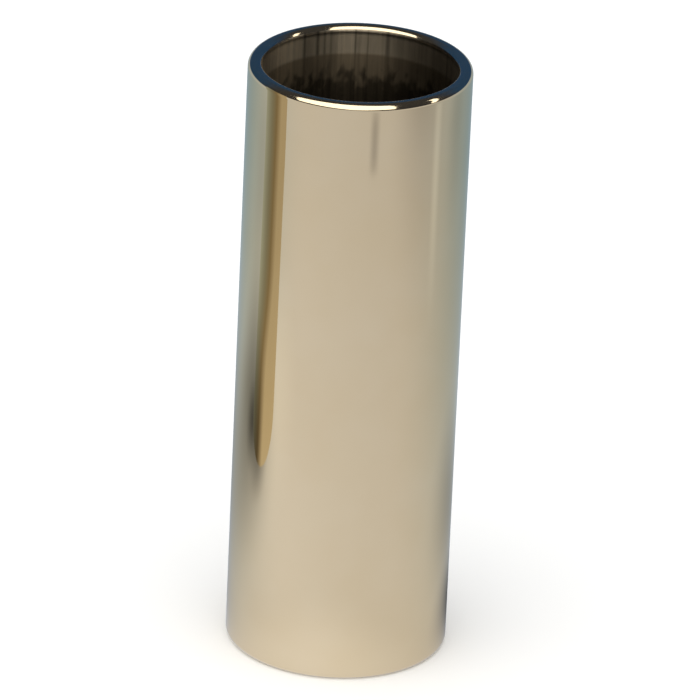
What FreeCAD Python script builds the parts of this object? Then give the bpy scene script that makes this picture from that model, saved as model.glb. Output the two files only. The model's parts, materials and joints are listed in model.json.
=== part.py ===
"""Guitar slide: one length of brass tube, open at both ends, that a player wears on a finger.

The tube is a single piece. Its straight bore holds the finger, its straight outside wall rides on the
strings, and each end is a full-round rim: an outer and an inner quarter arc that meet at a narrow flat
ring, which the slide stands on.

Frame: the origin is the centre of the lower ring, where the tube rests, and +Z runs up the bore's axis.
Millimetres.
"""
import FreeCAD, Part
import math
import os

# Driving dimensions
LENGTH = 61.5  # overall, from ring to ring
BORE_DIAMETER = 19.0  # a medium finger size
WALL = 1.5  # a medium wall
RING_WIDTH = 0.1  # the flat at the crest of each rim, where the inner and outer arcs stop

# Sizes that follow from them
BORE_RADIUS = BORE_DIAMETER / 2
OUTER_RADIUS = BORE_RADIUS + WALL
RIM_RADIUS = (WALL - RING_WIDTH) / 2  # both arcs of a rim share what the ring leaves of the wall

PARTS_FOLDER = "parts"


def point(radius, height):
    """A point of the half section, which lies in the XZ plane with the tube's axis on Z."""
    return FreeCAD.Vector(radius, 0, height)


def quarter_arc(centre_radius, centre_height, start_degrees):
    """A quarter of a rim's rounding, anticlockwise from start_degrees: 0 points outwards and 90 points up."""
    ends = []
    for turn in (0, 45, 90):
        angle = math.radians(start_degrees + turn)
        reach = RIM_RADIUS * math.cos(angle)
        rise = RIM_RADIUS * math.sin(angle)
        ends.append(point(centre_radius + reach, centre_height + rise))
    return Part.Arc(*ends).toShape()


def straight(start, end):
    """A straight side of the half section."""
    return Part.LineSegment(start, end).toShape()


def wall_section():
    """The closed half section of the wall, anticlockwise from the foot of its outside face."""
    outer_centre = OUTER_RADIUS - RIM_RADIUS
    inner_centre = BORE_RADIUS + RIM_RADIUS
    low_centre = RIM_RADIUS
    high_centre = LENGTH - RIM_RADIUS
    edges = [
        straight(point(OUTER_RADIUS, low_centre), point(OUTER_RADIUS, high_centre)),
        quarter_arc(outer_centre, high_centre, 0),
        straight(point(outer_centre, LENGTH), point(inner_centre, LENGTH)),
        quarter_arc(inner_centre, high_centre, 90),
        straight(point(BORE_RADIUS, high_centre), point(BORE_RADIUS, low_centre)),
        quarter_arc(inner_centre, low_centre, 180),
        straight(point(inner_centre, 0), point(outer_centre, 0)),
        quarter_arc(outer_centre, low_centre, 270),
    ]
    return Part.Face(Part.Wire(edges))


def slide_tube():
    """The whole slide: the wall's section turned once round the bore's axis."""
    axis_point = FreeCAD.Vector(0, 0, 0)
    axis = FreeCAD.Vector(0, 0, 1)
    return wall_section().revolve(axis_point, axis, 360)


def main():
    os.makedirs(PARTS_FOLDER, exist_ok=True)
    nodes = {"slide_tube": slide_tube()}
    for name, solid in nodes.items():
        solid.exportStep(os.path.join(PARTS_FOLDER, name + ".step"))
        print(name, solid.ShapeType, "valid", solid.isValid(), "volume", round(solid.Volume, 1), "mm3")


main()
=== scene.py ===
"""Guitar slide: the looks of a brass tube, buffed outside and drawn inside, and the studio it stands in.

The tube is one surface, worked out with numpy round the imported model, which gives every size. Metres, +Z up.
"""
import json
import math

import bpy
import numpy as np
from bpy.props import FloatProperty, FloatVectorProperty, IntProperty, PointerProperty
from bpy.types import Operator, Panel, PropertyGroup
from mathutils import Matrix, Vector


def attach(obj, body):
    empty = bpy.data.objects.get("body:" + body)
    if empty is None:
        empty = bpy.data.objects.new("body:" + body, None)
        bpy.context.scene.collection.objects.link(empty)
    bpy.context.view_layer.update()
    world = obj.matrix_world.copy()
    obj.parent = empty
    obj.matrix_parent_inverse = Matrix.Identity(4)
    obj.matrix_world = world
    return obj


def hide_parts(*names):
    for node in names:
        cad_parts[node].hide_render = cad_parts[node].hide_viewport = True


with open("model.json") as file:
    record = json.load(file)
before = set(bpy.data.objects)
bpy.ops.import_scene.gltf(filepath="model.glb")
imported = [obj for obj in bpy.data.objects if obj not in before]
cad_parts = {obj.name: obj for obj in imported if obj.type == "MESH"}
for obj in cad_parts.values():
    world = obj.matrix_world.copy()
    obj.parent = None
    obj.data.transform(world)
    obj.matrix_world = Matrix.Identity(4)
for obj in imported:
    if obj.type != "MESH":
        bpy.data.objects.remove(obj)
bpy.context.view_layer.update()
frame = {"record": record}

bl_info = {
    "name": "Guitar Slide",
    "version": (1, 0, 0),
    "blender": (4, 5, 0),
    "location": "View3D > Sidebar > Slide",
    "description": "Makes a brass guitar slide round its packed model, with its finishes and its studio",
    "category": "Object",
}

NODE = "slide_tube"
MM = 0.001

MOUNTS = {mount["name"]: mount for mount in frame["record"]["mounts"]}
OUTER_RADIUS = MOUNTS["outer_wall"]["dims"]["r_mm"] * MM
BORE_RADIUS = MOUNTS["finger_bore"]["dims"]["r_mm"] * MM
STRAIGHT_LENGTH = MOUNTS["outer_wall"]["dims"]["length_mm"] * MM
FOOT = MOUNTS["lower_rim"]["pos_m"][2]
LENGTH = MOUNTS["upper_rim"]["pos_m"][2] - FOOT
RIM_RADIUS = (LENGTH - STRAIGHT_LENGTH) / 2

LAY = "lay"  # UV map: distance round the tube and distance along its section, both in millimetres
CREST = "crest"  # attribute: 1 on the crest of a rim, 0 where the rim meets a straight wall
DEPTH = "depth"  # attribute: millimetres from the nearer rim


def linear(hex_colour):
    """The linear RGB of an sRGB hex colour."""
    srgb = [int(hex_colour[i:i + 2], 16) / 255 for i in (1, 3, 5)]
    return [c / 12.92 if c <= 0.04045 else ((c + 0.055) / 1.055) ** 2.4 for c in srgb]


def rgba(colour):
    """A socket's colour, with full alpha."""
    return (*colour[:3], 1.0)


class SlideTubeSettings(PropertyGroup):
    """What a user would change on the tube itself. The model's own sizes come from the frame."""

    around: IntProperty(
        name="Faces around", description="Faces round the tube, enough for a mirror finish", default=576,
        min=96)
    rim_rows: IntProperty(
        name="Rows per rim arc", description="Rows of faces on each quarter round of a rim", default=18,
        min=4)
    mouth_depth: FloatProperty(
        name="Reamed depth", description="How far a reamer has cleaned the bore from each end",
        default=2.85 * MM, unit="LENGTH")
    reamer_step: FloatProperty(
        name="Reamer step", description="How much wider the reamed stretch is, on the radius",
        default=0.02 * MM, unit="LENGTH")
    draw_lines: IntProperty(
        name="Draw lines", description="Grooves that the drawing plug left along the bore", default=90, min=0)
    draw_depth: FloatProperty(
        name="Draw line depth", description="Depth of the deepest draw line", default=0.012 * MM,
        unit="LENGTH")
    brass: FloatVectorProperty(
        name="Brass", description="Freshly buffed pale brass", subtype="COLOR", size=3, min=0, max=1,
        default=linear("#F3DFB8"))
    tarnish: FloatVectorProperty(
        name="Tarnish", description="Brass that has begun to warm with handling", subtype="COLOR", size=3,
        min=0, max=1, default=linear("#E9D0A0"))
    bore_brass: FloatVectorProperty(
        name="Reamed brass", description="Bare brass at the mouths of the bore", subtype="COLOR", size=3,
        min=0, max=1, default=linear("#D7C6A9"))
    bore_oxide: FloatVectorProperty(
        name="Drawn bore", description="Oxide and drawing soap left inside the bore", subtype="COLOR", size=3,
        min=0, max=1, default=linear("#A8967A"))


class StudioSettings(PropertyGroup):
    """The camera, the lights and the table."""

    camera_height: FloatProperty(
        name="Camera elevation", description="Camera's angle above the horizon", subtype="ANGLE",
        default=math.radians(23.92))
    camera_roll: FloatProperty(
        name="Camera roll", description="Camera's turn about its line of sight", subtype="ANGLE",
        default=math.radians(2.58))
    camera_distance: FloatProperty(
        name="Camera distance", description="From the camera to the point it looks at", unit="LENGTH",
        default=0.8623)
    focal_length: FloatProperty(
        name="Focal length", description="On a 36 mm sensor", unit="CAMERA", default=449.3)
    aim_side: FloatProperty(
        name="Aim to the right", description="How far beside the axis the camera looks", unit="LENGTH",
        default=0.2 * MM)
    aim_height: FloatProperty(
        name="Aim height", description="How far above the foot the camera looks", unit="LENGTH",
        default=30.9 * MM)
    softbox_glow: FloatProperty(
        name="Softbox radiance", description="Brightness of the overhead softbox in a highlight",
        default=1.85)
    lamp_glow: FloatProperty(
        name="Side lamp radiance", description="Brightness of the strip lamp in a highlight", default=1.9)
    spill_glow: FloatProperty(
        name="Softbox spill", description="Brightness of the softbox as the board sees it", default=0.9)
    fill_glow: FloatProperty(
        name="Fill", description="Brightness of the pale room that lights the board", default=1.0)
    board: FloatVectorProperty(
        name="Board", description="The pale board that the slide stands on", subtype="COLOR", size=3,
        min=0, max=1, default=linear("#F1F1F0"))
    board_lit: FloatVectorProperty(
        name="Board, lit side", description="The board's tone in a reflection, in front of the slide",
        subtype="COLOR", size=3, min=0, max=1, default=linear("#D0D2DC"))
    board_shaded: FloatVectorProperty(
        name="Board, shaded side", description="The board's tone in a reflection, behind the slide",
        subtype="COLOR", size=3, min=0, max=1, default=linear("#93A9B8"))
    backdrop: FloatVectorProperty(
        name="Backdrop", description="The blue room behind the slide, which the rims reflect",
        subtype="COLOR", size=3, min=0, max=1, default=linear("#223F67"))
    wings: FloatVectorProperty(
        name="Wings", description="The dark cloths over and beside the slide", subtype="COLOR", size=3, min=0,
        max=1, default=linear("#323338"))


# ---- The tube's surface ----

OUTSIDE_ROWS = 12
MIDDLE_ROWS = 24
# Rows of each mouth of the bore, as shares of the way down to the reamer's step, crowded where the step is
MOUTH_ROWS = (0.0, 0.15, 0.4, 0.7, 0.88, 0.96, 1.0, 1.04, 1.12, 1.3, 1.6)
STEP_SOFTNESS = 0.1 * MM
LINE_WIDTHS = (0.1 * MM, 0.35 * MM)
LINE_SEED = 19


def arc(centre_radius, centre_height, start, stop, rows):
    """Part of a circle in the section: centre plus radius times the cosine and sine of an angle that runs
    evenly from start to stop, in degrees, without its last point."""
    angle = np.radians(np.linspace(start, stop, rows, endpoint=False))
    return centre_radius + RIM_RADIUS * np.cos(angle), centre_height + RIM_RADIUS * np.sin(angle)


def wall(radius, heights):
    """A straight wall of the section: one radius at each of the heights."""
    return np.full(len(heights), radius), heights


def tube_section(settings):
    """The closed section as radii and heights, anticlockwise from the foot of the outside wall: wall, arc,
    ring, arc, bore, arc, ring, arc. It also gives the row where the bore starts and the row where it ends."""
    outer_centre = OUTER_RADIUS - RIM_RADIUS
    inner_centre = BORE_RADIUS + RIM_RADIUS
    low = FOOT + RIM_RADIUS
    high = FOOT + LENGTH - RIM_RADIUS
    rows = settings.rim_rows
    outside_heights = np.linspace(low, high, OUTSIDE_ROWS, endpoint=False)
    mouth = np.array(MOUTH_ROWS) * (settings.mouth_depth - RIM_RADIUS)
    middle = np.linspace(mouth[-1], STRAIGHT_LENGTH - mouth[-1], MIDDLE_ROWS)[1:-1]
    bore_heights = high - np.concatenate([mouth, middle, STRAIGHT_LENGTH - mouth[:0:-1]])
    stretches = [
        wall(OUTER_RADIUS, outside_heights),
        arc(outer_centre, high, 0, 90, rows),
        wall(outer_centre, np.array([FOOT + LENGTH])),
        arc(inner_centre, high, 90, 180, rows),
        wall(BORE_RADIUS, bore_heights),
        arc(inner_centre, low, 180, 270, rows),
        wall(inner_centre, np.array([FOOT])),
        arc(outer_centre, low, 270, 360, rows),
    ]
    counts = [len(radii) for radii, _ in stretches]
    bore_start = sum(counts[:4])
    return (
        np.concatenate([radii for radii, _ in stretches]),
        np.concatenate([heights for _, heights in stretches]),
        bore_start,
        bore_start + counts[4],
    )


def bore_relief(turn, depth, settings):
    """How far the bore's wall lies outside its nominal radius, for each row and each angle. It is a smooth
    step, one reamer step high, that ends at the reamed depth, plus past that depth a sum of narrow bells
    across the angle, one for each draw line, with random places, widths and depths."""
    rng = np.random.default_rng(LINE_SEED)
    past = (depth - settings.mouth_depth) / STEP_SOFTNESS
    drawn = 1 / (1 + np.exp(-np.clip(past, -30, 30)))
    places = rng.uniform(0, 2 * np.pi, settings.draw_lines)
    widths = rng.uniform(*LINE_WIDTHS, settings.draw_lines) / BORE_RADIUS
    depths = settings.draw_depth * rng.uniform(0.15, 1, settings.draw_lines) ** 2
    away = (turn[:, None] - places + np.pi) % (2 * np.pi) - np.pi
    grooves = np.sum(depths * np.exp(-((away / widths) ** 2)), axis=1)
    return settings.reamer_step * (1 - drawn)[:, None] + drawn[:, None] * grooves


def tube_mesh(settings):
    """The wall as a ring of rings: point(row, angle) is the section's radius at that row, plus the bore's
    relief there, turned by the angle about the axis. Both ways round close on themselves, so there are no
    poles and no open edges."""
    radii, heights, bore_start, bore_end = tube_section(settings)
    rows, around = len(radii), settings.around
    turn = np.linspace(0, 2 * np.pi, around, endpoint=False)
    depth = np.minimum(heights - FOOT, FOOT + LENGTH - heights)
    radius = np.repeat(radii[:, None], around, axis=1)
    bore = slice(bore_start, bore_end)
    radius[bore] += bore_relief(turn, depth[bore], settings)
    points = np.stack(
        [radius * np.cos(turn), radius * np.sin(turn), np.repeat(heights[:, None], around, axis=1)], axis=-1)

    row, column = np.meshgrid(np.arange(rows), np.arange(around), indexing="ij")
    next_row, next_column = (row + 1) % rows, (column + 1) % around
    here, above = row * around, next_row * around
    faces = np.stack(
        [here + column, here + next_column, above + next_column, above + column], axis=-1).reshape(-1, 4)

    mesh = bpy.data.meshes.new(NODE + "_surface")
    mesh.vertices.add(rows * around)
    mesh.vertices.foreach_set("co", points.ravel())
    mesh.loops.add(faces.size)
    mesh.loops.foreach_set("vertex_index", faces.ravel())
    mesh.polygons.add(len(faces))
    mesh.polygons.foreach_set("loop_start", np.arange(0, faces.size, 4))
    mesh.update(calc_edges=True)
    mesh.polygons.foreach_set("use_smooth", np.ones(len(faces), dtype=bool))

    steps = np.hypot(np.diff(radii, append=radii[0]), np.diff(heights, append=heights[0])) / MM
    along = np.concatenate([[0.0], np.cumsum(steps)])
    round_mm = 2 * np.pi * OUTER_RADIUS / MM / around
    corners = [(0, 0), (0, 1), (1, 1), (1, 0)]
    lay = np.stack(
        [np.stack([(column + c) * round_mm, along[row + r]], axis=-1) for r, c in corners], axis=2)
    mesh.uv_layers.new(name=LAY).data.foreach_set("uv", lay.ravel())
    crest = np.clip(1 - depth / RIM_RADIUS, 0, 1)
    for name, values in ((CREST, crest), (DEPTH, depth / MM)):
        attribute = mesh.attributes.new(name, "FLOAT", "POINT")
        attribute.data.foreach_set("value", np.repeat(values, around))
    mop_reach = settings.rim_rows // 3
    in_bore = (row >= bore_start - mop_reach) & (row < bore_end + mop_reach)
    mesh.polygons.foreach_set("material_index", in_bore.ravel().astype(np.int32))
    mesh.validate()
    return mesh


# ---- Finishes ----


def add_node(tree, kind, settings=None, links=None, **attributes):
    """Adds a shader node: attributes go on the node, settings on its inputs, and links join other outputs
    to them."""
    node = tree.nodes.new("ShaderNode" + kind)
    for name, value in attributes.items():
        setattr(node, name, value)
    for socket, value in (settings or {}).items():
        node.inputs[socket].default_value = value
    for socket, source in (links or {}).items():
        tree.links.new(source, node.inputs[socket])
    return node


def new_material(name):
    """An empty node material with its output node."""
    material = bpy.data.materials.new(name)
    material.use_nodes = True
    material.node_tree.nodes.clear()
    return material, material.node_tree, add_node(material.node_tree, "OutputMaterial")


def per_mm(spacing_mm):
    """The scale that gives a pattern one feature each spacing_mm on coordinates in millimetres."""
    return 1 / spacing_mm


def azimuth_from_front(tree, coordinates):
    """The azimuth of a point, in radians from the front round to the right, and its three coordinates."""
    axes = add_node(tree, "SeparateXYZ", None, {0: coordinates})
    front = add_node(tree, "Math", {1: -1.0}, {0: axes.outputs["Y"]}, operation="MULTIPLY")
    turn = add_node(tree, "Math", None, {0: axes.outputs["X"], 1: front.outputs[0]}, operation="ARCTAN2")
    return turn.outputs[0], axes


def set_stops(ramp, stops):
    """Gives a colour ramp its stops, each a position from 0 to 1 and a linear RGB."""
    elements = ramp.elements
    elements.remove(elements[1])
    elements[0].position = stops[0][0]
    elements[0].color = rgba(stops[0][1])
    for position, colour in stops[1:]:
        elements.new(position).color = rgba(colour)


def buffed_brass(settings):
    """Yellow brass, cut with a mop and coloured to a mirror.

    The eye gets crisp reflections in a pale warm metal, soft cloudy tone where hands have warmed it, a haze
    of faint hairlines round the tube that only a highlight's edge shows, a few smudges, and rims rubbed a
    little duller."""
    material, tree, output = new_material("buffed_brass")
    place = add_node(tree, "TexCoord").outputs["Object"]
    lay = add_node(tree, "UVMap", uv_map=LAY)
    crest = add_node(tree, "Attribute", attribute_name=CREST)

    # Handling warms the tone in clouds about 14 mm across
    clouds = add_node(
        tree, "TexNoise", {"Scale": per_mm(14) / MM, "Detail": 3.0, "Roughness": 0.55}, {"Vector": place})
    warmth = add_node(
        tree, "MapRange", {"From Min": 0.35, "From Max": 0.8, "To Max": 0.5}, {"Value": clouds.outputs[0]})
    colour = add_node(
        tree, "Mix", {6: rgba(settings.brass), 7: rgba(settings.tarnish)}, {"Factor": warmth.outputs[0]},
        data_type="RGBA")

    # Mop hairlines run round the tube: 0.12 mm apart, drawn coarser than real ones so that they show
    stretch = add_node(
        tree, "Mapping", {"Scale": (per_mm(9), per_mm(0.12), 1)}, {"Vector": lay.outputs["UV"]})
    hairlines = add_node(
        tree, "TexNoise", {"Scale": 1.0, "Detail": 2.0, "Roughness": 0.6}, {"Vector": stretch.outputs[0]},
        noise_dimensions="2D")

    # Smudges from fingers, about 5 mm across, and the rubbed crest of each rim
    smudges = add_node(
        tree, "TexNoise", {"Scale": per_mm(5) / MM, "Detail": 5.0, "Roughness": 0.6}, {"Vector": place})
    smudge = add_node(
        tree, "MapRange", {"From Min": 0.52, "From Max": 0.75, "To Min": 0.035, "To Max": 0.075},
        {"Value": smudges.outputs[0]})
    rubbed = add_node(tree, "Math", {1: 0.08}, {0: crest.outputs["Fac"]}, operation="MULTIPLY")
    roughness = add_node(tree, "Math", None, {0: smudge.outputs[0], 1: rubbed.outputs[0]}, operation="ADD")
    bump = add_node(tree, "Bump", {"Strength": 0.02, "Distance": 0.01 * MM}, {"Height": hairlines.outputs[0]})
    shader = add_node(
        tree, "BsdfPrincipled", {"Metallic": 1.0},
        {"Base Color": colour.outputs[2], "Roughness": roughness.outputs[0], "Normal": bump.outputs[0]})
    tree.links.new(shader.outputs[0], output.inputs["Surface"])
    return material


# The bore's strips, as the azimuth where each starts, in degrees from the front, and its tone
BORE_STRIPS = (
    (-180, 0.92), (-175.5, 1.0), (-166.5, 0.74), (-153, 0.66), (-144, 0.8), (-136, 0.92), (-130.5, 1.05),
    (-121.5, 0.85), (-98, 0.7), (-62, 0.9), (-25, 0.75), (31, 1.0), (74, 0.8), (118, 0.95), (165, 1.0))

# Scores along the bore: azimuth and half width in degrees, and tone
BORE_SCORES = (
    (-176.3, 1.1, 0.5), (-161.5, 1.2, 0.75), (-157.5, 1.5, 0.5), (-153, 2.3, 0.3), (-144, 2.0, 0.5),
    (-98, 1.5, 0.6), (-62, 1.2, 0.5), (-25, 1.6, 0.6), (31, 1.3, 0.5), (118, 1.4, 0.7), (164.5, 2.2, 0.5),
    (176.3, 1.0, 0.75))


def bore_score(tree, azimuth, score):
    """A dark line along the bore: the score's tone at its azimuth and 1 past its half width."""
    middle, half_width, tone = score
    away = add_node(tree, "Math", {1: math.radians(middle)}, {0: azimuth}, operation="SUBTRACT")
    away = add_node(tree, "Math", None, {0: away.outputs[0]}, operation="ABSOLUTE")
    line = add_node(
        tree, "MapRange", {"From Max": math.radians(half_width), "To Min": tone}, {"Value": away.outputs[0]},
        interpolation_type="SMOOTHSTEP")
    return line.outputs[0]


def drawn_bore(settings):
    """Brass as the drawing bench left it, with only the mouths reamed.

    The eye gets a satin band at each mouth, made of upright strips of slightly different tone with dark scores
    between them, then a browner band that ends in a streaky, ragged edge, and then a wall that is a little
    smoother and much darker, from stain and painted shade. Painted shade darkens the right-hand side and the
    lip, and the far left is darker too."""
    material, tree, output = new_material("drawn_brass_bore")
    lay = add_node(tree, "UVMap", uv_map=LAY)
    place = add_node(tree, "TexCoord").outputs["Object"]
    depth = add_node(tree, "Attribute", attribute_name=DEPTH).outputs["Fac"]

    # Draw marks run along the bore, about 0.6 mm apart and 12 mm long; stains are 0.9 mm wide
    stretch = add_node(
        tree, "Mapping", {"Scale": (per_mm(0.6), per_mm(12), 1)}, {"Vector": lay.outputs["UV"]})
    marks = add_node(
        tree, "TexNoise", {"Scale": 1.0, "Detail": 3.0, "Roughness": 0.6}, {"Vector": stretch.outputs[0]},
        noise_dimensions="2D")
    upright = add_node(
        tree, "Mapping", {"Scale": (per_mm(0.9), per_mm(1.4), 1)}, {"Vector": lay.outputs["UV"]})
    stains = add_node(
        tree, "TexNoise", {"Scale": 1.0, "Detail": 1.0, "Roughness": 0.5}, {"Vector": upright.outputs[0]},
        noise_dimensions="2D")

    # The reamed band ends at the reamed depth; the brown one under it ends raggedly, about 5 mm down
    reamed = settings.mouth_depth / MM
    past_reamer = add_node(
        tree, "MapRange", {"From Min": reamed - 0.25, "From Max": reamed + 0.25}, {"Value": depth},
        interpolation_type="SMOOTHSTEP")
    ragged = add_node(
        tree, "MapRange", {"From Min": 0.3, "From Max": 0.7, "To Min": -1.0, "To Max": 1.0},
        {"Value": stains.outputs[0]})
    torn_depth = add_node(tree, "Math", None, {0: depth, 1: ragged.outputs[0]}, operation="ADD")
    past_stain = add_node(
        tree, "MapRange", {"From Min": 4.2, "From Max": 6.5}, {"Value": torn_depth.outputs[0]},
        interpolation_type="SMOOTHSTEP")
    past_lip = add_node(
        tree, "MapRange", {"From Min": 0.45, "From Max": 0.95}, {"Value": depth},
        interpolation_type="SMOOTHSTEP")

    # The strips' tones by azimuth, round the whole bore
    azimuth, axes = azimuth_from_front(tree, place)
    share = add_node(
        tree, "MapRange", {"From Min": -math.pi, "From Max": math.pi}, {"Value": azimuth})
    strips = add_node(tree, "ValToRGB", None, {0: share.outputs[0]})
    strips.color_ramp.interpolation = "CONSTANT"
    set_stops(strips.color_ramp, [((start + 180) / 360, (tone,) * 3) for start, tone in BORE_STRIPS])
    strip_tone = add_node(tree, "SeparateColor", None, {0: strips.outputs[0]}).outputs[0]

    # The scores fade by half in the brown band
    scores = bore_score(tree, azimuth, BORE_SCORES[0])
    for score in BORE_SCORES[1:]:
        line = bore_score(tree, azimuth, score)
        scores = add_node(tree, "Math", None, {0: scores, 1: line}, operation="MULTIPLY").outputs[0]
    fading = add_node(tree, "MapRange", {"To Min": 1.0, "To Max": 0.5}, {"Value": past_reamer.outputs[0]})
    score_tone = add_node(tree, "Mix", {2: 1.0}, {"Factor": fading.outputs[0], 3: scores})

    # Painted shade darkens the right-hand side of the bore, its lip and, with the stain, its deep part; its
    # far left is darker too
    right_side_painted_shade = add_node(
        tree, "MapRange", {"From Min": -4 * MM, "From Max": 8 * MM, "To Min": 1.0, "To Max": 0.17},
        {"Value": axes.outputs["X"]}, interpolation_type="SMOOTHSTEP")
    # Darker towards the far left of the bore
    far_left_darkening = add_node(
        tree, "MapRange", {"From Min": -9.4 * MM, "From Max": -7.8 * MM, "To Min": 0.55, "To Max": 1.0},
        {"Value": axes.outputs["X"]}, interpolation_type="SMOOTHSTEP")
    # Painted shade at the lip, where the rim's round meets the bore
    lip_painted_shade = add_node(tree, "MapRange", {"To Min": 0.55}, {"Value": past_lip.outputs[0]})
    # Past the stain the deep wall is darker: stain and painted shade
    deep_stain_and_painted_shade = add_node(tree, "MapRange", {"To Min": 1.0, "To Max": 0.45}, {"Value": past_stain.outputs[0]})
    streaks = add_node(
        tree, "MapRange", {"From Min": 0.35, "From Max": 0.65, "To Min": 0.85, "To Max": 1.08},
        {"Value": marks.outputs[0]})
    shade = strip_tone
    for layer in (score_tone, right_side_painted_shade, far_left_darkening, lip_painted_shade, deep_stain_and_painted_shade, streaks):
        product = add_node(tree, "Math", None, {0: shade, 1: layer.outputs[0]}, operation="MULTIPLY")
        shade = product.outputs[0]
    banded = add_node(
        tree, "Mix", {6: rgba(settings.bore_brass), 7: rgba(settings.bore_oxide)},
        {"Factor": past_reamer.outputs[0]}, data_type="RGBA")
    tone = add_node(tree, "VectorMath", None, {0: banded.outputs[2], 3: shade}, operation="SCALE")

    satin = add_node(tree, "MapRange", {"To Min": 0.5, "To Max": 0.42}, {"Value": past_stain.outputs[0]})
    smoother_lip = add_node(tree, "MapRange", {"To Min": 0.6}, {"Value": past_lip.outputs[0]})
    grain = add_node(tree, "MapRange", {"To Min": -0.06, "To Max": 0.06}, {"Value": marks.outputs[0]})
    roughness = add_node(
        tree, "Math", None, {0: satin.outputs[0], 1: smoother_lip.outputs[0], 2: grain.outputs[0]},
        operation="MULTIPLY_ADD")
    bump = add_node(tree, "Bump", {"Strength": 0.5, "Distance": 0.02 * MM}, {"Height": marks.outputs[0]})
    shader = add_node(
        tree, "BsdfPrincipled", {"Metallic": 1.0},
        {"Base Color": tone.outputs[0], "Roughness": roughness.outputs[0], "Normal": bump.outputs[0]})
    tree.links.new(shader.outputs[0], output.inputs["Surface"])
    return material


# ---- The studio ----

# The softbox's and the strip lamp's corners, as azimuth and elevation in degrees from the upper rim
SOFTBOX_CORNERS = ((-88, 53), (72, 72), (37, 19), (-5, 10), (-63, 16))
STRIP_LAMP_CORNERS = ((75.5, 9), (82, 9), (107, 47), (96, 47))

SOFTBOX_DISTANCE = 0.9
STRIP_LAMP_DISTANCE = 0.8
SPILL_TOWARDS = (-20, 58)  # azimuth and elevation in degrees
SPILL_SIDE = 1.4

BOARD_HALF_SIDE = 4.0
SENSOR_WIDTH = 36.0  # millimetres

# How much of its shaded side's tone the board keeps far off
FAR_SHADE = 0.7

# The gold card, rolled into a tube: the place of its axis, its radius and its height in millimetres, and how
# far it leans back, in degrees
CARD_X = -71.5
CARD_Y = -2.0
CARD_Z = -1.0
CARD_RADIUS = 17.5
CARD_HEIGHT = 70.0
CARD_LEAN = 4.0
CARD_SIDES = 96

# Soft round spots of painted shadow and light in the board's mirrored tone: centre x and y, reach, and factor
# at the centre; millimetres
PAINTED_BOARD_SPOTS = (
    (-2, -12, 20, 1.18),  # light that the slide throws in front of its foot
    (0, 8, 22, 0.6),  # painted soft shade behind the slide's foot
    (9.5, 9.5, 15, 0.18),  # the slide's own shadow, at its foot
    (30, 27, 32, 0.7),  # the same shadow, further out
    (CARD_X + 5, CARD_Y + 20, 45, 0.36),  # the gold card's shadow
    (CARD_X + 10, CARD_Y + 16, 14, 0.38),  # the darkest part of it, close to the card
    (CARD_X + 15, CARD_Y + 3, 14, 0.5),  # the card's foot, on the side that faces the slide
    (-20, 35, 60, 0.66),  # where the two shadows meet
    (CARD_X - 4, CARD_Y - 18, 40, 1.14),  # light that the gold card throws
    (-124, 36, 46, 0.84),  # painted shade: dimmer board past the gold card
    (140, 70, 50, 0.87),  # and its like on the right
    (190, -85, 125, 0.7),  # painted shade on the board's far right, past the softbox
)

# The distances between which every painted streak on the board fades away
STREAK_FADE = (165 * MM, 195 * MM)

# Narrow streaks of painted shade and light that run outwards on the board: azimuth and half width in degrees,
# the distances in millimetres where one starts and where it is full, and its factor there
PAINTED_BOARD_STREAKS = (
    (17, 6.5, 138.5, 144, 0.68),  # a painted shadow streak across the board
    (86.5, 7, 88, 138, 1.24),  # the strip lamp's light along the board
)

# The gold card's painted colours by azimuth round it, in degrees from its front: lit gold round to painted
# shade at its side
CARD_PAINTED_COLOURS = (
    (65, "#ABA18C"),  # gold, all round the front
    (86, "#7C7058"),  # its brown side, in painted shade
    (105, "#7C7D72"),  # where brown turns to grey
    (130, "#909894"),  # grey
    (155, "#9DA7A6"),  # the paler back
)


def stage_mesh(name, points, faces, material, sees_camera):
    """A stage object from its points and faces. One that the camera doesn't see is there only for the
    reflections."""
    mesh = bpy.data.meshes.new(name)
    mesh.from_pydata(points, [], faces)
    mesh.materials.append(material)
    thing = bpy.data.objects.new(name, mesh)
    bpy.context.scene.collection.objects.link(thing)
    if not sees_camera:
        thing.visible_camera = False
        thing.visible_diffuse = False
        thing.visible_shadow = False
    return thing


def direction(azimuth, elevation):
    """The unit vector towards an azimuth, counted from the front round to the right, and an elevation, both
    in degrees."""
    a, e = math.radians(azimuth), math.radians(elevation)
    return Vector((math.sin(a) * math.cos(e), -math.cos(a) * math.cos(e), math.sin(e)))


def mirrored_lamp(name, corners, distance, glow):
    """A flat lamp that only reflections show. Its corners lie in the given directions from the upper rim, on
    the plane at that distance which faces the rim."""
    towards = [direction(*corner) for corner in corners]
    middle = sum(towards, Vector()).normalized()
    rim = Vector((0, 0, FOOT + LENGTH))
    points = [rim + ray * (distance / ray.dot(middle)) for ray in towards]
    material, tree, output = new_material(name + "_glow")
    emission = add_node(tree, "Emission", {"Strength": glow})
    tree.links.new(emission.outputs[0], output.inputs["Surface"])
    stage_mesh(name, points, [tuple(range(len(points)))], material, False)


def softbox_spill(glow):
    """The softbox as matt surfaces see it: a plain square area light, which lights the board and makes no
    highlight."""
    towards = direction(*SPILL_TOWARDS)
    data = bpy.data.lights.new("softbox_spill", "AREA")
    data.size = SPILL_SIDE
    data.energy = glow * math.pi * SPILL_SIDE**2
    lamp = bpy.data.objects.new("softbox_spill", data)
    lamp.location = Vector((0, 0, FOOT + LENGTH / 2)) + towards * SOFTBOX_DISTANCE
    lamp.rotation_mode = "QUATERNION"
    lamp.rotation_quaternion = towards.to_track_quat("Z", "Y")
    lamp.visible_camera = False
    lamp.visible_glossy = False
    bpy.context.scene.collection.objects.link(lamp)


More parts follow.
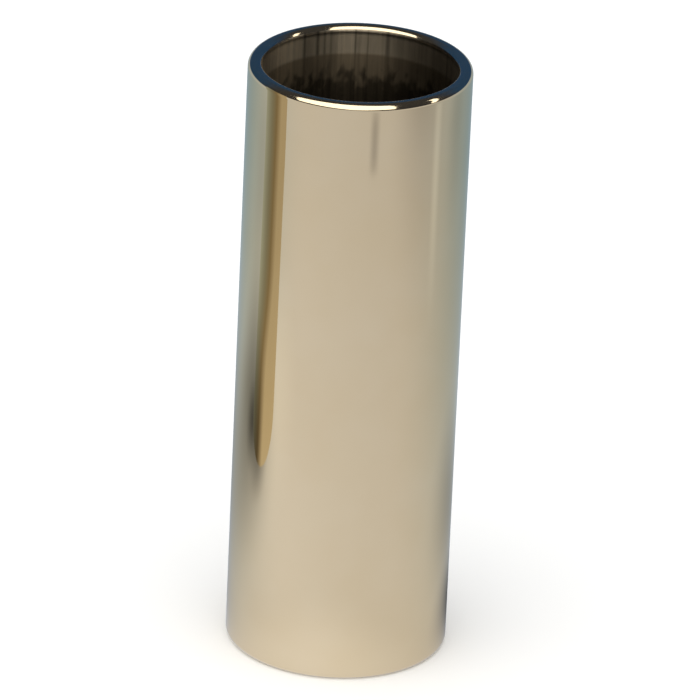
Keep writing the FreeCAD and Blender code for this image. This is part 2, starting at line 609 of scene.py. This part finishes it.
def painted_board_spot(tree, strength, place, spot):
    """The strength times a soft round spot of painted shadow, or of painted light where its factor is above 1:
    the spot's factor at its centre and 1 from its reach on."""
    x, y, reach, factor = spot
    away = add_node(tree, "VectorMath", {1: (x * MM, y * MM, FOOT)}, {0: place}, operation="DISTANCE")
    tone = add_node(
        tree, "MapRange", {"From Max": reach * MM, "To Min": factor}, {"Value": away.outputs["Value"]},
        interpolation_type="SMOOTHSTEP")
    return add_node(tree, "Math", None, {0: strength, 1: tone.outputs[0]}, operation="MULTIPLY").outputs[0]


def painted_board_streak(tree, strength, azimuth, distance, mark):
    """The strength times a narrow streak of painted shade, or of painted light where its factor is above 1,
    that runs outwards: its factor along its middle, from where it is full to where it fades away."""
    middle, half_width, start, full, factor = mark
    away = add_node(tree, "Math", {1: math.radians(middle)}, {0: azimuth}, operation="SUBTRACT")
    away = add_node(tree, "Math", None, {0: away.outputs[0]}, operation="ABSOLUTE")
    across = add_node(
        tree, "MapRange", {"From Max": math.radians(half_width), "To Min": 1.0, "To Max": 0.0},
        {"Value": away.outputs[0]}, interpolation_type="SMOOTHSTEP")
    along = add_node(
        tree, "MapRange", {"From Min": start * MM, "From Max": full * MM}, {"Value": distance},
        interpolation_type="SMOOTHSTEP")
    ending = add_node(
        tree, "MapRange", {"From Min": STREAK_FADE[0], "From Max": STREAK_FADE[1], "To Min": 1.0, "To Max": 0.0},
        {"Value": distance}, interpolation_type="SMOOTHSTEP")
    share = across
    for part in (along, ending):
        share = add_node(
            tree, "Math", None, {0: share.outputs[0], 1: part.outputs[0]}, operation="MULTIPLY")
    tone = add_node(tree, "MapRange", {"To Min": 1.0, "To Max": factor}, {"Value": share.outputs[0]})
    return add_node(tree, "Math", None, {0: strength, 1: tone.outputs[0]}, operation="MULTIPLY").outputs[0]


def board_material(settings):
    """Matt white board. The camera sees it clean and pale; a reflection sees an emission with painted light
    and shade instead: lighter near the foot and on the left, bluer and darker behind, with painted soft
    shadows, and painted shade under the tube."""
    material, tree, output = new_material("matt_board")
    place = add_node(tree, "TexCoord").outputs["Object"]
    azimuth, _ = azimuth_from_front(tree, place)
    distance = add_node(tree, "VectorMath", None, {0: place}, operation="LENGTH").outputs["Value"]

    # Painted shade: the tone turns from the lit colour bluer towards the shaded one from the sides to the
    # back, more so away from the slide and less so far off
    turned = add_node(tree, "Math", None, {0: azimuth}, operation="ABSOLUTE")
    behind = add_node(
        tree, "MapRange", {"From Min": math.radians(45), "From Max": math.radians(155)},
        {"Value": turned.outputs[0]}, interpolation_type="SMOOTHSTEP")
    deepening = add_node(
        tree, "MapRange", {"From Min": 20 * MM, "From Max": 130 * MM, "To Min": 0.45, "To Max": 1.0},
        {"Value": distance})
    far = add_node(
        tree, "MapRange", {"From Min": 145 * MM, "From Max": 280 * MM, "To Min": 1.0, "To Max": FAR_SHADE},
        {"Value": distance}, interpolation_type="SMOOTHSTEP")
    share = behind
    for part in (deepening, far):
        share = add_node(
            tree, "Math", None, {0: share.outputs[0], 1: part.outputs[0]}, operation="MULTIPLY")
    tone = add_node(
        tree, "Mix", {6: rgba(settings.board_lit), 7: rgba(settings.board_shaded)},
        {"Factor": share.outputs[0]}, data_type="RGBA")

    # Painted light fall-off: it fades outwards and to the right
    fading = add_node(
        tree, "MapRange", {"From Min": 30 * MM, "From Max": 150 * MM, "To Min": 1.1, "To Max": 0.94},
        {"Value": distance})
    rightness = add_node(tree, "Math", None, {0: azimuth}, operation="SINE")
    sideways = add_node(
        tree, "MapRange", {"From Min": -1.0, "To Min": 1.04, "To Max": 0.89},
        {"Value": rightness.outputs[0]})
    strength = add_node(
        tree, "Math", None, {0: fading.outputs[0], 1: sideways.outputs[0]}, operation="MULTIPLY").outputs[0]
    for spot in PAINTED_BOARD_SPOTS:
        strength = painted_board_spot(tree, strength, place, spot)
    for mark in PAINTED_BOARD_STREAKS:
        strength = painted_board_streak(tree, strength, azimuth, distance, mark)
    # Painted contact shadow: dark under the tube
    painted_contact_shadow = add_node(
        tree, "MapRange",
        {"From Min": OUTER_RADIUS - 1.2 * MM, "From Max": OUTER_RADIUS - 0.2 * MM, "To Min": 0.15,
         "To Max": 1.0},
        {"Value": distance}, interpolation_type="SMOOTHSTEP")
    strength = add_node(tree, "Math", None, {0: strength, 1: painted_contact_shadow.outputs[0]}, operation="MULTIPLY")

    # Reflections see this emission, with the board's painted light and shade
    mirrored = add_node(tree, "Emission", None, {"Color": tone.outputs[2], "Strength": strength.outputs[0]})
    matt = add_node(tree, "BsdfDiffuse", {"Color": rgba(settings.board)})
    rays = add_node(tree, "LightPath")
    surface = add_node(
        tree, "MixShader", None,
        {0: rays.outputs["Is Glossy Ray"], 1: matt.outputs[0], 2: mirrored.outputs[0]})
    tree.links.new(surface.outputs[0], output.inputs["Surface"])
    return material


def make_board(settings):
    """The table: a wide square board under the slide."""
    half = BOARD_HALF_SIDE
    corners = [(-half, -half, FOOT), (half, -half, FOOT), (half, half, FOOT), (-half, half, FOOT)]
    stage_mesh("board", corners, [(0, 1, 2, 3)], board_material(settings), True)


def card_material():
    """A rolled gold card that glows with painted light and shade: bright gold at its front, brown painted
    shade at its side and grey towards its back. Near its foot the gold reaches further round and is painted
    brighter, and the back stands in painted shadow."""
    material, tree, output = new_material("gold_card")
    azimuth, axes = azimuth_from_front(tree, add_node(tree, "TexCoord").outputs["Object"])
    height = axes.outputs["Z"]
    reach = add_node(
        tree, "MapRange",
        {"From Min": 10 * MM, "From Max": 24 * MM, "To Min": math.radians(-19), "To Max": 0.0},
        {"Value": height}, interpolation_type="SMOOTHSTEP")
    turn = add_node(tree, "Math", None, {0: azimuth, 1: reach.outputs[0]}, operation="ADD")
    share = add_node(tree, "Math", {1: math.pi}, {0: turn.outputs[0]}, operation="DIVIDE")
    colour = add_node(tree, "ValToRGB", None, {0: share.outputs[0]})
    set_stops(colour.color_ramp, [(degrees / 180, linear(tone)) for degrees, tone in CARD_PAINTED_COLOURS])

    # Painted light near the foot, and painted shadow low on the side
    painted_foot_light = add_node(
        tree, "MapRange", {"From Max": 30 * MM, "To Min": 1.3, "To Max": 1.0}, {"Value": height})
    side = add_node(
        tree, "MapRange", {"From Min": math.radians(78), "From Max": math.radians(108)}, {"Value": azimuth},
        interpolation_type="SMOOTHSTEP")
    low = add_node(
        tree, "MapRange", {"From Min": 2 * MM, "From Max": 18 * MM, "To Min": 0.63, "To Max": 0.0},
        {"Value": height}, interpolation_type="SMOOTHSTEP")
    shadow = add_node(tree, "Math", None, {0: side.outputs[0], 1: low.outputs[0]}, operation="MULTIPLY")
    lit = add_node(tree, "Math", {0: 1.0}, {1: shadow.outputs[0]}, operation="SUBTRACT")
    strength = add_node(tree, "Math", None, {0: painted_foot_light.outputs[0], 1: lit.outputs[0]}, operation="MULTIPLY")
    glow = add_node(tree, "Emission", None, {"Color": colour.outputs[0], "Strength": strength.outputs[0]})
    tree.links.new(glow.outputs[0], output.inputs["Surface"])
    return material


def make_gold_card():
    """A gold card rolled into a tube, which glows with painted light and shade, stands to the left and shows
    only in the slide, as a gold band.
    It is two level rings of points on a circle, the cosine and sine of an angle, with a band of faces
    between them."""
    turn = np.linspace(0, 2 * np.pi, CARD_SIDES, endpoint=False)
    ring = np.stack([np.cos(turn), np.sin(turn)], axis=1) * CARD_RADIUS * MM
    levels = (FOOT, FOOT + CARD_HEIGHT * MM)
    points = np.concatenate([np.column_stack([ring, np.full(CARD_SIDES, level)]) for level in levels])
    first = np.arange(CARD_SIDES)
    second = (first + 1) % CARD_SIDES
    faces = np.stack([first, second, second + CARD_SIDES, first + CARD_SIDES], axis=1)
    card = stage_mesh("gold_card", points.tolist(), faces.tolist(), card_material(), False)
    card.location = (CARD_X * MM, CARD_Y * MM, CARD_Z * MM)
    card.rotation_euler = (math.radians(CARD_LEAN), 0, 0)


def make_world(settings):
    """A pale room that lights the board. In a reflection it is dark cloths instead: blue behind the slide and
    nearly black over it, beside it and in front. They start a few degrees above the board, which looks to
    curve up to them."""
    world = bpy.data.worlds.new("room")
    bpy.context.scene.world = world
    world.use_nodes = True
    tree = world.node_tree
    tree.nodes.clear()
    axes = add_node(tree, "SeparateXYZ", None, {0: add_node(tree, "TexCoord").outputs["Generated"]})
    behind = add_node(
        tree, "MapRange", {"From Min": 0.1, "From Max": 0.55}, {"Value": axes.outputs["Y"]},
        interpolation_type="SMOOTHSTEP")
    low = add_node(
        tree, "MapRange", {"From Min": 0.5, "From Max": 0.85, "To Min": 1.0, "To Max": 0.0},
        {"Value": axes.outputs["Z"]}, interpolation_type="SMOOTHSTEP")
    blue = add_node(tree, "Math", None, {0: behind.outputs[0], 1: low.outputs[0]}, operation="MULTIPLY")
    cloths = add_node(
        tree, "Mix", {6: rgba(settings.wings), 7: rgba(settings.backdrop)}, {"Factor": blue.outputs[0]},
        data_type="RGBA")
    # The cove carries the board's painted lit and shaded tone up to the cloths
    shaded = add_node(tree, "Math", {1: FAR_SHADE}, {0: behind.outputs[0]}, operation="MULTIPLY")
    cove = add_node(
        tree, "Mix", {6: rgba(settings.board_lit), 7: rgba(settings.board_shaded)},
        {"Factor": shaded.outputs[0]}, data_type="RGBA")
    above_board = add_node(
        tree, "MapRange", {"From Min": 0.0, "From Max": 0.06}, {"Value": axes.outputs["Z"]},
        interpolation_type="SMOOTHSTEP")
    mirrored = add_node(
        tree, "Mix", None, {"Factor": above_board.outputs[0], 6: cove.outputs[2], 7: cloths.outputs[2]},
        data_type="RGBA")

    rays = add_node(tree, "LightPath")
    seen = add_node(tree, "Background", {"Color": rgba(linear("#FAFAFA")), "Strength": 1.0})
    fill = add_node(tree, "Background", {"Color": rgba(linear("#FFFFFF")), "Strength": settings.fill_glow})
    dark = add_node(tree, "Background", {"Strength": 1.0}, {"Color": mirrored.outputs[2]})
    direct = add_node(
        tree, "MixShader", None, {0: rays.outputs["Is Camera Ray"], 1: fill.outputs[0], 2: seen.outputs[0]})
    both = add_node(
        tree, "MixShader", None, {0: rays.outputs["Is Glossy Ray"], 1: direct.outputs[0], 2: dark.outputs[0]})
    add_node(tree, "OutputWorld", None, {"Surface": both.outputs[0]})


def make_camera(settings):
    """A long lens that looks down at the middle of the slide, rolled so that the slide leans to the right."""
    back = direction(0, math.degrees(settings.camera_height))
    right = Vector((1, 0, 0))
    up = back.cross(right)
    cos_roll, sin_roll = math.cos(settings.camera_roll), math.sin(settings.camera_roll)
    axes = Matrix((cos_roll * right + sin_roll * up, cos_roll * up - sin_roll * right, back)).transposed()
    data = bpy.data.cameras.new("camera")
    data.sensor_width = SENSOR_WIDTH
    data.lens = settings.focal_length
    data.clip_start, data.clip_end = 0.05, 50.0
    camera = bpy.data.objects.new("camera", data)
    aim = Vector((settings.aim_side, 0, FOOT + settings.aim_height))
    camera.matrix_world = Matrix.Translation(aim + back * settings.camera_distance) @ axes.to_4x4()
    bpy.context.scene.collection.objects.link(camera)
    bpy.context.scene.camera = camera


# ---- Operators ----


class SLIDE_OT_tube(Operator):
    """Makes the tube's surface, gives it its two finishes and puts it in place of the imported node"""

    bl_idname = "slide.tube"
    bl_label = "Slide tube"

    def execute(self, context):
        settings = context.scene.slide_tube
        mesh = tube_mesh(settings)
        mesh.materials.append(buffed_brass(settings))
        mesh.materials.append(drawn_bore(settings))
        tube = bpy.data.objects.new(NODE + "_polished", mesh)
        context.scene.collection.objects.link(tube)
        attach(tube, "root")
        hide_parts(NODE)
        return {"FINISHED"}


class SLIDE_OT_studio(Operator):
    """Makes the board, the lights, the room and the camera"""

    bl_idname = "slide.studio"
    bl_label = "Studio"

    def execute(self, context):
        settings = context.scene.slide_studio
        make_board(settings)
        make_gold_card()
        make_world(settings)
        mirrored_lamp("softbox", SOFTBOX_CORNERS, SOFTBOX_DISTANCE, settings.softbox_glow)
        mirrored_lamp("strip_lamp", STRIP_LAMP_CORNERS, STRIP_LAMP_DISTANCE, settings.lamp_glow)
        softbox_spill(settings.spill_glow)
        make_camera(settings)
        context.scene.view_settings.view_transform = "Standard"
        return {"FINISHED"}


class SLIDE_PT_panel(Panel):
    """Lists the slide's operators and settings in the sidebar"""

    bl_label = "Guitar Slide"
    bl_idname = "SLIDE_PT_panel"
    bl_space_type = "VIEW_3D"
    bl_region_type = "UI"
    bl_category = "Slide"

    def draw(self, context):
        for settings, operator in (
            (context.scene.slide_tube, SLIDE_OT_tube),
            (context.scene.slide_studio, SLIDE_OT_studio),
        ):
            box = self.layout.box()
            # The first two properties are Blender's own
            for name in settings.bl_rna.properties.keys()[2:]:
                box.prop(settings, name)
            box.operator(operator.bl_idname)


CLASSES = (SlideTubeSettings, StudioSettings, SLIDE_OT_tube, SLIDE_OT_studio, SLIDE_PT_panel)


def register():
    """Adds the classes, and the two groups of settings to the scene."""
    for cls in CLASSES:
        bpy.utils.register_class(cls)
    bpy.types.Scene.slide_tube = PointerProperty(type=SlideTubeSettings)
    bpy.types.Scene.slide_studio = PointerProperty(type=StudioSettings)


def unregister():
    """Takes away what register added."""
    del bpy.types.Scene.slide_studio
    del bpy.types.Scene.slide_tube
    for cls in reversed(CLASSES):
        bpy.utils.unregister_class(cls)


def main():
    """Runs every operator in order."""
    register()
    bpy.ops.slide.tube()
    bpy.ops.slide.studio()


if __name__ == "__main__":
    main()
